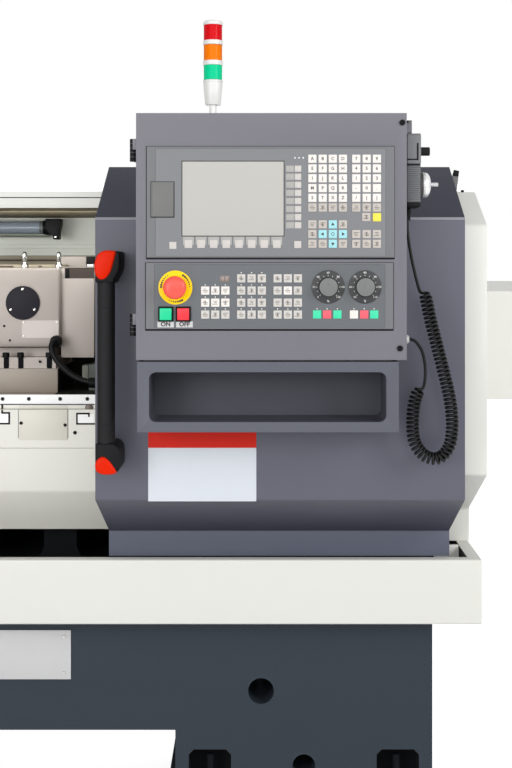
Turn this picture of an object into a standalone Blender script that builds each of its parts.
"""CNC turning lathe: flat bed, sliding front door with the operator console on it.

Metres, +Z up. The origin is on the floor under the middle of the machine. +X is to the
operator's right and -Y is the operator's side. Run with: blender --background --python part.py
"""
import math

import bmesh
import bpy
from mathutils import Matrix, Vector

# Clearances
GAP = 0.0003
RUN = 0.002

# Whole machine
HALF_DEPTH = 0.590
SHEET = 0.0025

# Stand casting
STAND_HALF = 0.889
STAND_FRONT = -0.260
STAND_BACK = 0.300
STAND_TOP = 0.489
STAND_FOOT = 0.022
ARCH_HALF = 0.376
ARCH_FOOT_HALF = 0.340
ARCH_TOP = 0.259
ARCH_LIP = 0.020
LIFT_HOLE_OFFSET = 0.0855
LIFT_HOLE_Z = 0.337
LIFT_HOLE_RADIUS = 0.027
DRAIN_HOLE_Z = 0.188
DRAIN_HOLE_RADIUS = 0.024
POCKET_WIDTH = 0.084
POCKET_TOP = 0.220
POCKET_BOTTOM = 0.060
POCKET_DEPTH = 0.070
POCKET_INSET = 0.069
POCKET_CORNER = 0.010
SCREW_RADIUS = 0.008
SCREW_TOP = 0.200
NUT_RADIUS = 0.0145
NUT_HEIGHT = 0.014
PAD_RADIUS = 0.030
PAD_HEIGHT = 0.014
PLATE_HALF = 0.168
PLATE_LOW = 0.361
PLATE_HIGH = 0.459
PLATE_THICK = 0.002

# Chip tray
TRAY_HALF = 0.976
TRAY_FRONT = -0.333
TRAY_BACK = 0.360
TRAY_RIM = 0.615
TRAY_FLANGE = 0.035

# Bed
BED_HALF = 0.930
BED_FRONT = -0.070
BED_BACK = 0.230
BED_TOP = 0.850
WAY_HEIGHT = 0.045
WAY_OVERHANG = 0.018
WAY_WIDTH = 0.070
VEE_HEIGHT = 0.012
BED_CHANNEL_FLOOR = 0.640
CHIP_WINDOW_WIDTH = 0.110
CHIP_WINDOW_LOW = 0.560
CHIP_WINDOW_HIGH = 0.700
CHIP_WINDOW_PITCH = 0.180
CHIP_WINDOW_CORNER = 0.025
CHIP_WINDOWS = 5

# Spindle line
SPINDLE_Y = 0.080
SPINDLE_Z = 1.100
BAR_RADIUS = 0.026
SPINDLE_RADIUS = 0.045
SPINDLE_NOSE_RADIUS = 0.075
SPINDLE_END = -1.120
HEAD_WAIST = 0.070
HEAD_FLARE = 0.040
HEAD_CHAMFER = 0.050
HEAD_LEFT = -0.950
HEAD_RIGHT = -0.520
HEAD_FRONT = -0.100
HEAD_BACK = 0.260
HEAD_TOP = 1.260
CHUCK_LEFT = -0.500
CHUCK_RIGHT = -0.420
CHUCK_RADIUS = 0.125
CHUCK_CHAMFER = 0.004
JAW_WIDTH = 0.030
JAW_STEP = 0.030
JAW_PROUD = 0.015
JAW_INNER = 0.038
JAW_OUTER = 0.112
JAW_NOSE = -0.375
JAW_ROOT = 0.022
PULLEY_RADIUS = 0.085
PULLEY_LEFT = -1.100
PULLEY_RIGHT = -1.035
BELT_GROOVES = 3
GROOVE_DEPTH = 0.008

# Main drive behind the left pedestal
MOTOR_Y = 0.425
MOTOR_Z = 0.310
MOTOR_RADIUS = 0.095
MOTOR_LEFT = -0.900
MOTOR_RIGHT = -0.600
MOTOR_SHAFT_RADIUS = 0.019
MOTOR_SHAFT_END = -1.110
MOTOR_PULLEY_RADIUS = 0.055
MOTOR_BELL_LENGTH = 0.050
MOTOR_BELL_RADIUS = 0.070
MOTOR_FOOT_INSET = 0.040
MOTOR_FOOT_HALF = 0.070
TERMINAL_LEFT = -0.800
TERMINAL_RIGHT = -0.690
TERMINAL_HALF = 0.045
TERMINAL_RISE = 0.045
BELT_THICK = 0.009
BELT_CLEAR = 0.0004
BELT_COVER_END = -1.150
BELT_COVER_MARGIN = 0.040

# Guards
GUARD_END = 0.978
GUARD_WALL = 0.003
GUARD_INNER_RIGHT = 0.250
GUARD_INNER_LEFT = -0.400
GUARD_TOP = 1.334
GUARD_TOP_FRONT = -0.233
GUARD_FRONT = -0.380
GUARD_FRONT_HIGH = 1.263
GUARD_FRONT_LOW = 0.786
GUARD_SKIRT = -0.158
GUARD_SKIRT_HIGH = 0.684
END_COVER_LOW = 0.898
END_COVER_HIGH = 1.131
END_COVER_BACK_HIGH = 1.150
END_COVER_FRONT = -0.050
END_COVER_BACK = 0.250
END_COVER_END = 1.150

# Roof and rear wall
ROOF_TOP = 1.340
ROOF_FRONT = -0.210
ROOF_LIP = 1.307
ROOF_BACK = 0.353
RAIL_HEIGHT = 0.012
RAIL_WIDTH = 0.018
LAMP_RADIUS = 0.015
LAMP_LEFT = -0.550
LAMP_RIGHT = 0.026
LAMP_Y = 0.290
LAMP_Z = 1.287
LAMP_CLIP_WIDTH = 0.026
LAMP_CLIP_HALF = 0.020

# Tower light
TOWER_X = 0.442
TOWER_Y = -0.043
TOWER_RADIUS = 0.020
TOWER_STEM_RADIUS = 0.008
TOWER_FOOT_RADIUS = 0.022
TOWER_FOOT_HEIGHT = 0.012
TOWER_RING = 0.0015
TOWER_BASE_LOW = 1.533
TOWER_GREEN_LOW = 1.587
TOWER_AMBER_LOW = 1.618
TOWER_RED_LOW = 1.662
TOWER_TOP = 1.715

# Door
DOOR_LEFT = 0.240
DOOR_RIGHT = 0.927
DOOR_EDGE = -0.230
DOOR_TOP = 1.385
DOOR_FRONT = -0.440
DOOR_FRONT_HIGH = 1.274
DOOR_FRONT_LOW = 0.750
DOOR_SKIRT_HIGH = 0.652
DOOR_BOTTOM = 0.600
CHEEK_DEPTH = 0.034
HANGER_INSET = 0.100
HANGER_WIDTH = 0.050
HANGER_OVERLAP = 0.012
HANGER_DROP = 0.0075
HANGER_HOOK = 0.006
HANGER_THICK = 0.008
HANDLE_X = 0.268
HANDLE_Y = -0.500
HANDLE_RADIUS = 0.016
HANDLE_LOW = 0.850
HANDLE_HIGH = 1.158
HANDLE_END = 0.052
HANDLE_END_WALL = 0.003
HANDLE_END_RUN = 0.010
HANDLE_END_EDGE = 0.006

# Console
CONSOLE_FACE = -0.560
CONSOLE_LEFT = 0.328
CONSOLE_RIGHT = 0.806
CONSOLE_LOW = 1.0186
CONSOLE_HIGH = 1.4546
CONSOLE_FRONT_DEPTH = 0.016
POCKET_BOX_LEFT = 0.330
POCKET_BOX_RIGHT = 0.792
POCKET_BOX_LOW = 0.891
POCKET_BOX_HIGH = 1.0152
POCKET_MOUTH_LEFT = 0.351
POCKET_MOUTH_RIGHT = 0.770
POCKET_MOUTH_LOW = 0.909
POCKET_MOUTH_HIGH = 0.997
POCKET_MOUTH_RADIUS = 0.012
POCKET_MOUTH_DEPTH = 0.110
NECK_INSET = 0.010
HINGE_RADIUS = 0.006
HINGE_X = CONSOLE_LEFT - 0.0065
HINGE_LENGTH = 0.040
HINGE_LEAF = 0.020
HINGE_HEIGHTS = (1.080, 1.390)
PANEL_LEFT = 0.3466
PANEL_RIGHT = 0.7827
SCREEN_LOW = 1.1993
SCREEN_HIGH = 1.3950
KEYPAD_LOW = 1.0735
KEYPAD_HIGH = 1.1902
PANEL_THICK = 0.004
DISPLAY_LEFT = 0.4083
DISPLAY_RIGHT = 0.5901
DISPLAY_LOW = 1.2375
DISPLAY_HIGH = 1.3699
DISPLAY_THICK = 0.0025
FLAP_LEFT = 0.3545
FLAP_RIGHT = 0.3951
FLAP_LOW = 1.271
FLAP_HIGH = 1.3345
FLAP_THICK = 0.003
KEY_HEIGHT = 0.0012
KEY_HALF = 0.0068
KEY_PITCH_X = 0.0177
KEY_PITCH_Z = 0.0172
LETTER_KEYS_X = 0.6404
NUMBER_KEYS_X = 0.7181
TYPING_KEYS_Z = 1.2879
MODE_KEYS_X = 0.4503
AXIS_KEYS_X = 0.5014
TOOL_KEYS_X = 0.5649
MODE_PITCH_X = 0.0178
MODE_PITCH_Z = 0.0209

# Controls on the keypad panel
STOP_X = 0.3977
STOP_Z = 1.1466
STOP_RADIUS = 0.020
STOP_HEIGHT = 0.030
STOP_STEM_RADIUS = 0.010
STOP_CROWN = 0.0055
STOP_COLLAR_RADIUS = 0.031
STOP_COLLAR_HEIGHT = 0.003
STOP_TRAVEL = 0.004
BUTTON_HALF = 0.0105
BUTTON_HEIGHT = 0.008
BUTTON_EDGE = 0.0015
BUTTON_TRAVEL = 0.002
BEZEL_WALL = 0.0028
BEZEL_HEIGHT = 0.006
START_X = 0.3808
OFF_X = 0.4117
BUTTON_Z = 1.0998
KNOB_RADIUS = 0.0175
KNOB_HEIGHT = 0.022
KNOB_BAR_HALF = 0.003
KNOB_SKIRT = 0.004
FEED_X = 0.6670
SPEED_X = 0.7320
KNOB_Z = 1.1475
SPIGOT_RADIUS = 0.005
SPIGOT_DEPTH = 0.012

# Handheld pulse generator
PENDANT_Y = -0.500
PENDANT_LEFT = 0.8127
PENDANT_RIGHT = 0.839
PENDANT_DEPTH = 0.080
PENDANT_HIGH = 1.425
PENDANT_LOW = 1.292
PENDANT_WHEEL_Z = 1.331
PENDANT_WHEEL_RADIUS = 0.0245
PENDANT_WHEEL_THICK = 0.0145
PENDANT_KNOB_Z = 1.392
PENDANT_KNOB_RADIUS = 0.009
PENDANT_KNOB_HEIGHT = 0.014
PENDANT_CRANK_RADIUS = 0.0042
PENDANT_CRANK_LENGTH = 0.016
PENDANT_HOOK_HALF = 0.012
PENDANT_HOOK_LOW = 0.030
PENDANT_HOOK_RISE = 0.018
PENDANT_LIP = 0.014
PENDANT_FOOT_CHAMFER = 0.011
PENDANT_TOP_CHAMFER = 0.006
CORD_RADIUS = 0.0025
COIL_RADIUS = 0.012
GLAND_Z = 1.052
GLAND_RADIUS = 0.009
GLAND_LENGTH = 0.010
LEAD_TOP = ((0.8190, -0.500, 1.2917), (0.8185, -0.500, 1.283), (0.8140, -0.502, 1.265),
            (0.8145, -0.505, 1.240), (0.8175, -0.507, 1.214), (0.8218, -0.508, 1.190),
            (0.8290, -0.5075, 1.1580), (0.8345, -0.5060, 1.1353))
COIL_ROUTE = ((0.8440, -0.506, 1.1370), (0.8475, -0.505, 1.122), (0.8560, -0.503, 1.083),
              (0.8665, -0.501, 1.043), (0.8790, -0.498, 0.995), (0.8900, -0.495, 0.950),
              (0.8950, -0.492, 0.916), (0.8960, -0.490, 0.887), (0.8920, -0.489, 0.860),
              (0.8805, -0.488, 0.841), (0.8664, -0.487, 0.834), (0.8490, -0.487, 0.838),
              (0.8345, -0.488, 0.852), (0.8262, -0.489, 0.871), (0.8238, -0.491, 0.895),
              (0.8248, -0.494, 0.922), (0.8295, -0.496, 0.947), (0.8360, -0.498, 0.963))
LEAD_BOTTOM = ((0.8363, -0.4981, 0.9634), (0.8427, -0.4999, 0.9734), (0.8455, -0.501, 0.990),
               (0.8450, -0.501, 1.010), (0.8400, -0.502, 1.030), (0.8310, -0.502, 1.045),
               (0.8230, -0.502, 1.051), (0.8166, -0.502, 1.052))

# Carriage
SADDLE_LEFT = -0.094
SADDLE_RIGHT = 0.266
SADDLE_FRONT = -0.170
SADDLE_BACK = 0.310
SADDLE_TOP = 0.889
SADDLE_WING_LOW = 0.809
SADDLE_HANG = 0.020
APRON_FLANGE = 0.012
APRON_FOLD = 0.720
APRON_LOW = 0.632
APRON_LOW_Y = -0.120
CROSS_X = 0.0265
CROSS_LEFT = -0.092
CROSS_RIGHT = 0.150
CROSS_FRONT = -0.150
CROSS_BAR_RIGHT = 0.264
CROSS_BAR_FRONT = -0.162
CROSS_BAR_BACK = -0.112
CROSS_BACK = 0.200
CROSS_TOP = 0.914
RISER_HALF = 0.0855
RISER_TOP = 0.966
RISER_PROUD = 0.015
TURRET_LEFT = -0.0690
TURRET_RIGHT = 0.113
TURRET_FRONT = -0.060
TURRET_BACK = 0.160
TURRET_LOW = 1.012
TURRET_HEIGHT = 0.169
TURRET_HIGH = TURRET_LOW + TURRET_HEIGHT
TURRET_FOOT_HIGH = 0.990
TURRET_FOOT_PROUD = 0.012
TURRET_NECK_INSET = 0.015
TURRET_EDGE = 0.006
TURRET_AXIS_Y = 0.050
TURRET_CAP_RADIUS = 0.0365
TURRET_CAP_HEIGHT = 0.004
TURRET_CAP_X = 0.0345
TURRET_CAP_DROP = 0.075
EYE_LEFT = 0.031
EYE_RIGHT = 0.105
EYE_SETBACK = 0.040
EYE_RISE = 0.014
EYE_RADIUS = 0.015
EYE_HOLE_RADIUS = 0.0085
EYE_HALF = 0.0045
MOTOR_COVER_RIGHT = 0.185
MOTOR_COVER_LOW = 0.988
MOTOR_COVER_INSET = 0.020
MOTOR_COVER_EDGE = 0.008
MOTOR_COVER_RIM = 0.012
MOTOR_COVER_RECESS = 0.018
DISC_LEFT = -0.130
DISC_RIGHT = -0.0693
DISC_RADIUS = 0.110
TOOL_STATIONS = 8
TOOL_HALF = 0.010
TOOL_REACH = 0.148
TOOL_NOSE = -0.160
TOOL_SEAT = 0.077
TOOL_TAIL = 0.024
CONDUIT_RADIUS = 0.0075
CONDUIT_ROUTE = ((0.104, -0.088, 1.026), (0.097, -0.098, 1.023), (0.092, -0.103, 1.010),
                 (0.100, -0.105, 0.990), (0.117, -0.107, 0.969), (0.140, -0.109, 0.950),
                 (0.165, -0.111, 0.939), (0.188, -0.112, 0.936), (0.2022, -0.112, 0.936))
ELBOW_RADIUS = 0.011
ELBOW_PROUD = 0.008
CONDUIT_NUT = 0.012
JUNCTION_LEFT = 0.203
JUNCTION_RIGHT = 0.243
JUNCTION_TOP = 0.958

# Carriage and cross-slide drives
SCREW_Y = -0.125
SCREW_Z = 0.752
SCREW_SHAFT_RADIUS = 0.016
SCREW_JOURNAL_RADIUS = 0.0112
SCREW_JOURNAL_LENGTH = 0.030
SCREW_BORE_CLEAR = 0.001
SCREW_BLOCK_HALF = 0.030
SCREW_BLOCK_LENGTH = 0.040
SCREW_NUT_HALF = 0.050
SCREW_LEFT = -0.480
SCREW_RIGHT = 0.8100
SERVO_HALF = 0.050
SERVO_LEFT = 0.8080
SERVO_BODY_RIGHT = 0.908
SERVO_RIGHT = 0.960
SERVO_CAP_RADIUS = 0.0425
X_SERVO_LEFT = 0.172
X_SERVO_FRONT = -0.035
X_SERVO_LENGTH = 0.130
X_SERVO_HALF = 0.0415

# Tailstock
TAIL_LEFT = 0.700
TAIL_RIGHT = 0.925
TAIL_HALF = 0.085
TAIL_FOOT = 0.035
TAIL_WAIST = 0.090
TAIL_WAIST_HALF = 0.060
TAIL_CROWN_HALF = 0.045
TAIL_CROWN = 0.080
TAIL_SHOULDER = 0.040
TAIL_CHEST = 0.020
TAIL_WALL = 0.030
QUILL_RADIUS = 0.030
QUILL_LEFT = 0.660
QUILL_POINT = 0.600
QUILL_BEHIND = 0.010

# Electrical cabinet
CABINET_LEFT = -0.350
CABINET_RIGHT = 0.750
CABINET_HIGH = 1.300
CABINET_DOOR_THICK = 0.020
CABINET_LATCH_X = 0.690
CABINET_LATCH_Z = 0.980
CABINET_LATCH_HALF = 0.020
CABINET_LATCH_HALF_HEIGHT = 0.040
CABINET_LATCH_DEPTH = 0.008
CABINET_HINGE_INSET = 0.080
CABINET_HINGE_HALF = 0.040

SLATE = (0.142, 0.146, 0.174)
WHITE = (0.775, 0.775, 0.735)
CAST = (0.041, 0.053, 0.070)
GREY_BEIGE = (0.485, 0.430, 0.386)
BLACK = (0.012, 0.012, 0.013)
STEEL = (0.560, 0.560, 0.570)

parts = bpy.data.collections.new("cnc_turning_lathe")
guides = bpy.data.collections.new("cutters")
for group in (parts, guides):
    bpy.context.scene.collection.children.link(group)


def clear_scene():
    """Remove whatever the file holds before the lathe is built."""
    for thing in list(bpy.data.objects):
        bpy.data.objects.remove(thing, do_unlink=True)


def keep(mesh, name=None):
    """A part when it has a name, otherwise a hidden guide that another part is cut or joined with."""
    thing = bpy.data.objects.new(name or "guide", mesh)
    (parts if name else guides).objects.link(thing)
    if not name:
        thing.hide_render = True
        thing.display_type = "WIRE"
    return thing


def finish(thing, colour, roughness=0.5, metallic=0.0):
    """Give a part its own material and smooth its round faces."""
    material = bpy.data.materials.new(thing.name)
    material.use_nodes = True
    shader = material.node_tree.nodes["Principled BSDF"]
    shader.inputs["Base Color"].default_value = (*colour, 1)
    shader.inputs["Roughness"].default_value = roughness
    shader.inputs["Metallic"].default_value = metallic
    thing.data.materials.append(material)
    if thing.type == "MESH":
        thing.data.shade_smooth()
        thing.data.set_sharp_from_angle(angle=math.radians(30))
    return thing


def box(low, high, name=None):
    """A block between two corners."""
    low, high = Vector(low), Vector(high)
    shape = bmesh.new()
    bmesh.ops.create_cube(shape, size=1)
    size = Matrix.Diagonal((*(high - low), 1))
    bmesh.ops.transform(shape, matrix=Matrix.Translation((low + high) / 2) @ size, verts=shape.verts)
    mesh = bpy.data.meshes.new(name or "guide")
    shape.to_mesh(mesh)
    shape.free()
    return keep(mesh, name)


def rod(start, end, radius, name=None, far_radius=None, sides=24):
    """A cylinder or a cone between two points."""
    start, end = Vector(start), Vector(end)
    shape = bmesh.new()
    far_radius = radius if far_radius is None else far_radius
    bmesh.ops.create_cone(shape, cap_ends=True, segments=sides, radius1=radius,
                          radius2=far_radius, depth=(end - start).length)
    turn = Vector((0, 0, 1)).rotation_difference(end - start).to_matrix().to_4x4()
    bmesh.ops.transform(shape, matrix=Matrix.Translation((start + end) / 2) @ turn,
                        verts=shape.verts)
    mesh = bpy.data.meshes.new(name or "guide")
    shape.to_mesh(mesh)
    shape.free()
    return keep(mesh, name)


FACING = {
    "X": Matrix(((0, 0, 1), (1, 0, 0), (0, 1, 0))),
    "Y": Matrix(((1, 0, 0), (0, 0, -1), (0, 1, 0))),
    "Z": Matrix.Identity(3),
}


def prism(outline, low, high, facing, name=None):
    """A flat outline swept along an axis. It lies in YZ, XZ or XY when it faces X, Y or Z."""
    curve = bpy.data.curves.new("outline", "CURVE")
    curve.dimensions = "2D"
    curve.fill_mode = "BOTH"
    curve.extrude = (high - low) / 2
    spline = curve.splines.new("POLY")
    spline.points.add(len(outline) - 1)
    for point, (u, v) in zip(spline.points, outline):
        point.co = (u, v, 0, 1)
    spline.use_cyclic_u = True
    drawn = bpy.data.objects.new("outline", curve)
    guides.objects.link(drawn)
    drawn.matrix_world = FACING[facing].to_4x4()
    mesh = solid_mesh(drawn)
    middle = (high + low) / 2
    mesh.transform(Matrix.Translation(middle * Vector([axis == facing for axis in "XYZ"])))
    return keep(mesh, name)


def solid_mesh(drawn):
    """The welded mesh of a curve object, in world places. The curve is removed."""
    bpy.context.view_layer.update()
    evaluated = drawn.evaluated_get(bpy.context.evaluated_depsgraph_get())
    mesh = bpy.data.meshes.new_from_object(evaluated)
    mesh.transform(drawn.matrix_world)
    bpy.data.objects.remove(drawn, do_unlink=True)
    shape = bmesh.new()
    shape.from_mesh(mesh)
    bmesh.ops.remove_doubles(shape, verts=shape.verts, dist=0.00002)
    bmesh.ops.recalc_face_normals(shape, faces=shape.faces)
    shape.to_mesh(mesh)
    shape.free()
    return mesh


def tube(points, radius, name=None, resolution=2):
    """A round wire or rail through points, with closed ends."""
    curve = bpy.data.curves.new(name or "rail", "CURVE")
    curve.dimensions = "3D"
    curve.bevel_depth = radius
    curve.bevel_resolution = resolution
    curve.use_fill_caps = True
    spline = curve.splines.new("POLY")
    spline.points.add(len(points) - 1)
    for point, place in zip(spline.points, points):
        point.co = (*place, 1)
    drawn = bpy.data.objects.new("rail", curve)
    guides.objects.link(drawn)
    return keep(solid_mesh(drawn), name)


def smooth(points, steps):
    """Points on a smooth curve through a route's own points."""
    ends = [points[0], *points, points[-1]]
    route = []
    for a, b, c, d in zip(ends, ends[1:], ends[2:], ends[3:]):
        a, b, c, d = Vector(a), Vector(b), Vector(c), Vector(d)
        for step in range(steps):
            t = step / steps
            route.append(0.5 * (2 * b + (c - a) * t + (2 * a - 5 * b + 4 * c - d) * t ** 2
                                + (3 * b - a - 3 * c + d) * t ** 3))
    return route + [Vector(points[-1])]


def folded(path, low, high, name):
    """Sheet metal folded along a path in YZ and swept along X."""
    shape = bmesh.new()
    line = [shape.verts.new((high, y, z)) for y, z in path]
    edges = [shape.edges.new(pair) for pair in zip(line, line[1:])]
    swept = bmesh.ops.extrude_edge_only(shape, edges=edges)["geom"]
    moved = [item for item in swept if isinstance(item, bmesh.types.BMVert)]
    bmesh.ops.translate(shape, verts=moved, vec=(low - high, 0, 0))
    mesh = bpy.data.meshes.new(name)
    shape.to_mesh(mesh)
    shape.free()
    return walled(keep(mesh, name))


def walled(thing):
    """Give a sheet its thickness, inwards from the modelled faces."""
    wall = thing.modifiers.new("wall", "SOLIDIFY")
    wall.thickness = SHEET
    wall.offset = -1
    wall.use_even_offset = True
    return thing


def turned(profile, base, axis, name=None, steps=32):
    """A turned shape. The profile gives radius and height, down the outer side from the top."""
    mesh = bpy.data.meshes.new(name or "guide")
    edges = [(i, i + 1) for i in range(len(profile) - 1)]
    if profile[0][0] > 0:
        edges.append((len(profile) - 1, 0))
    mesh.from_pydata([(radius, 0, height) for radius, height in profile], edges, [])
    thing = keep(mesh, name)
    thing.location = base
    thing.rotation_mode = "QUATERNION"
    thing.rotation_quaternion = Vector((0, 0, 1)).rotation_difference(Vector(axis))
    screw = thing.modifiers.new("turn", "SCREW")
    screw.steps = steps
    screw.render_steps = steps
    screw.use_merge_vertices = True
    screw.merge_threshold = 0.00005
    screw.use_smooth_shade = True
    return thing


def combine(thing, how, tools):
    """Cut a part with guides or join guides to it."""
    for tool in tools:
        step = thing.modifiers.new(how.lower(), "BOOLEAN")
        step.operation = how
        step.solver = "EXACT"
        step.object = tool
    return thing


def cut(thing, *tools):
    return combine(thing, "DIFFERENCE", tools)


def join(thing, *tools):
    return combine(thing, "UNION", tools)


def rounded(thing, width, segments=2):
    """Round a part's edges."""
    bevel = thing.modifiers.new("edges", "BEVEL")
    bevel.width = width
    bevel.segments = segments
    bevel.limit_method = "ANGLE"
    bevel.angle_limit = math.radians(50)
    return thing


def round_corners(low, high, radius, steps=4):
    """A rectangle's outline with round corners, from its low and high corners."""
    outline = []
    corners = ((high[0], high[1], 0), (low[0], high[1], 90), (low[0], low[1], 180),
               (high[0], low[1], 270))
    for u, v, start in corners:
        centre_u = u - math.copysign(radius, u - (low[0] + high[0]) / 2)
        centre_v = v - math.copysign(radius, v - (low[1] + high[1]) / 2)
        for step in range(steps + 1):
            angle = math.radians(start + 90 * step / steps)
            outline.append((centre_u + radius * math.cos(angle),
                            centre_v + radius * math.sin(angle)))
    return outline


def pivot(name, at, *riders, parent=None):
    """An empty on a joint's axis, which carries the pieces that move with the joint."""
    empty = bpy.data.objects.new(name, None)
    parts.objects.link(empty)
    empty.location = at
    if parent:
        carry(parent, empty)
    carry(empty, *riders)
    return empty


def carry(parent, *riders):
    """Parent pieces to a pivot and leave them where they are."""
    bpy.context.view_layer.update()
    for rider in riders:
        rider.parent = parent
        rider.matrix_parent_inverse = parent.matrix_world.inverted()


# Fixed structure

def levelling_screw(x, y):
    """A jacking screw on its round pad, under a foot pocket."""
    pad = rod((x, y, 0), (x, y, PAD_HEIGHT), PAD_RADIUS, sides=12)
    shaft = rod((x, y, PAD_HEIGHT / 2), (x, y, SCREW_TOP), SCREW_RADIUS, sides=8)
    nut = rod((x, y, POCKET_BOTTOM - GAP), (x, y, POCKET_BOTTOM + NUT_HEIGHT), NUT_RADIUS, sides=6)
    return pad, shaft, nut


def cut_pocket(stand, x, y, inward):
    """A foot pocket in the front or the rear face, with the levelling screw that stands in it."""
    ends = sorted((y - inward * RUN, y + inward * POCKET_DEPTH))
    low = (x - POCKET_WIDTH / 2, POCKET_BOTTOM)
    high = (x + POCKET_WIDTH / 2, POCKET_TOP)
    cut(stand, prism(round_corners(low, high, POCKET_CORNER, 1), *ends, "Y"))
    join(stand, *levelling_screw(x, y + inward * POCKET_DEPTH / 2))


def make_stand():
    """Cast stand: two pedestals joined by a bridge, with foot pockets and lifting holes."""
    arch = [(ARCH_HALF, STAND_FOOT), (ARCH_HALF, ARCH_TOP)]
    right = [(STAND_HALF, STAND_FOOT), (STAND_HALF, STAND_TOP)]
    outline = arch + [(-x, z) for x, z in arch[::-1]] + [(-x, z) for x, z in right]
    outline += right[::-1]
    stand = prism(outline, STAND_FRONT, STAND_BACK, "Y", "base_casting")
    middle = (ARCH_HALF + STAND_HALF) / 2
    for side in (-1, 1):
        flare = [(side * (ARCH_HALF + RUN), STAND_FOOT + RUN), (side * ARCH_FOOT_HALF, STAND_FOOT + RUN),
                 (side * (ARCH_HALF + RUN), ARCH_TOP - RUN)]
        join(stand, prism(flare, STAND_FRONT + ARCH_LIP, STAND_BACK - RUN, "Y"))
        for x, z, radius in ((middle - LIFT_HOLE_OFFSET, LIFT_HOLE_Z, LIFT_HOLE_RADIUS),
                             (middle, DRAIN_HOLE_Z, DRAIN_HOLE_RADIUS)):
            cut(stand, rod((side * x, STAND_FRONT - RUN, z), (side * x, STAND_BACK + RUN, z), radius))
        for x in (ARCH_HALF + POCKET_INSET, STAND_HALF - POCKET_INSET):
            cut_pocket(stand, side * x, STAND_FRONT, 1)
            cut_pocket(stand, side * x, STAND_BACK, -1)
    plate = box((-PLATE_HALF, STAND_FRONT - PLATE_THICK, PLATE_LOW),
                (PLATE_HALF, STAND_FRONT + PLATE_THICK, PLATE_HIGH))
    join(stand, plate)
    return finish(stand, CAST, 0.6)


def make_tray():
    """Chip tray: an open pan with its rim folded inwards."""
    floor = STAND_TOP + GAP
    shape = bmesh.new()
    bmesh.ops.create_cube(shape, size=1)
    size = (2 * TRAY_HALF, TRAY_BACK - TRAY_FRONT, TRAY_RIM - floor)
    middle = (0, (TRAY_BACK + TRAY_FRONT) / 2, (TRAY_RIM + floor) / 2)
    bmesh.ops.transform(shape, matrix=Matrix.Translation(middle) @ Matrix.Diagonal((*size, 1)),
                        verts=shape.verts)
    shape.normal_update()
    top = [face for face in shape.faces if face.normal.z > 0.5]
    bmesh.ops.inset_region(shape, faces=top, thickness=TRAY_FLANGE)
    bmesh.ops.delete(shape, geom=top, context="FACES_ONLY")
    mesh = bpy.data.meshes.new("chip_tray")
    shape.to_mesh(mesh)
    shape.free()
    return finish(walled(keep(mesh, "chip_tray")), WHITE, 0.4)


def bed_outline():
    """The bed's section: a channel between overhanging ways, with a vee on the front way."""
    low = STAND_TOP + GAP + SHEET + GAP
    under = BED_TOP - WAY_HEIGHT
    vee = BED_FRONT + WAY_WIDTH / 2
    outline = [(BED_FRONT, low), (BED_BACK, low), (BED_BACK, under), (BED_BACK + WAY_OVERHANG, under),
               (BED_BACK + WAY_OVERHANG, BED_TOP), (BED_BACK - WAY_WIDTH, BED_TOP),
               (BED_BACK - WAY_WIDTH, BED_CHANNEL_FLOOR), (BED_FRONT + WAY_WIDTH, BED_CHANNEL_FLOOR),
               (BED_FRONT + WAY_WIDTH, BED_TOP), (vee + VEE_HEIGHT, BED_TOP),
               (vee, BED_TOP + VEE_HEIGHT), (vee - VEE_HEIGHT, BED_TOP),
               (BED_FRONT - WAY_OVERHANG, BED_TOP), (BED_FRONT - WAY_OVERHANG, under),
               (BED_FRONT, under)]
    return outline


def make_bed():
    """Cast bed with a chip channel between its ways and chip windows through its front."""
    bed = prism(bed_outline(), -BED_HALF, BED_HALF, "X", "bed")
    first = CROSS_X - CHIP_WINDOW_PITCH * (CHIP_WINDOWS - 1) / 2
    for i in range(CHIP_WINDOWS):
        x = first + i * CHIP_WINDOW_PITCH
        low = (x - CHIP_WINDOW_WIDTH / 2, CHIP_WINDOW_LOW)
        high = (x + CHIP_WINDOW_WIDTH / 2, CHIP_WINDOW_HIGH)
        corners = round_corners(low, high, CHIP_WINDOW_CORNER, 2)
        window = prism(corners, BED_FRONT - 2 * RUN, BED_BACK + 2 * RUN, "Y")
        cut(bed, window)
    return finish(bed, CAST, 0.5)


def vee_groove(foot, left, right):
    """The groove in a foot or a saddle that clears the bed's vee."""
    vee = BED_FRONT + WAY_WIDTH / 2
    clear = VEE_HEIGHT + GAP
    outline = [(vee - clear - RUN, foot - RUN), (vee + clear + RUN, foot - RUN), (vee, foot + clear)]
    return prism(outline, left - RUN, right + RUN, "X")


def make_headstock():
    """Headstock casting, bored through for the spindle."""
    centre = (SPINDLE_Y, SPINDLE_Z)
    foot = BED_TOP + GAP
    waist = foot + HEAD_WAIST
    outline = [(BED_FRONT, foot), (BED_BACK, foot), (BED_BACK, waist), (HEAD_BACK, waist + HEAD_FLARE),
               (HEAD_BACK, HEAD_TOP - HEAD_CHAMFER), (HEAD_BACK - HEAD_CHAMFER, HEAD_TOP),
               (HEAD_FRONT + HEAD_CHAMFER, HEAD_TOP), (HEAD_FRONT, HEAD_TOP - HEAD_CHAMFER),
               (HEAD_FRONT, waist + HEAD_FLARE), (BED_FRONT, waist)]
    head = prism(outline, HEAD_LEFT, HEAD_RIGHT, "X", "headstock")
    bore = rod((HEAD_LEFT - RUN, *centre), (HEAD_RIGHT + RUN, *centre), SPINDLE_RADIUS + GAP, sides=32)
    return finish(cut(head, bore, vee_groove(foot, HEAD_LEFT, HEAD_RIGHT)), CAST, 0.5)


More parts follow.
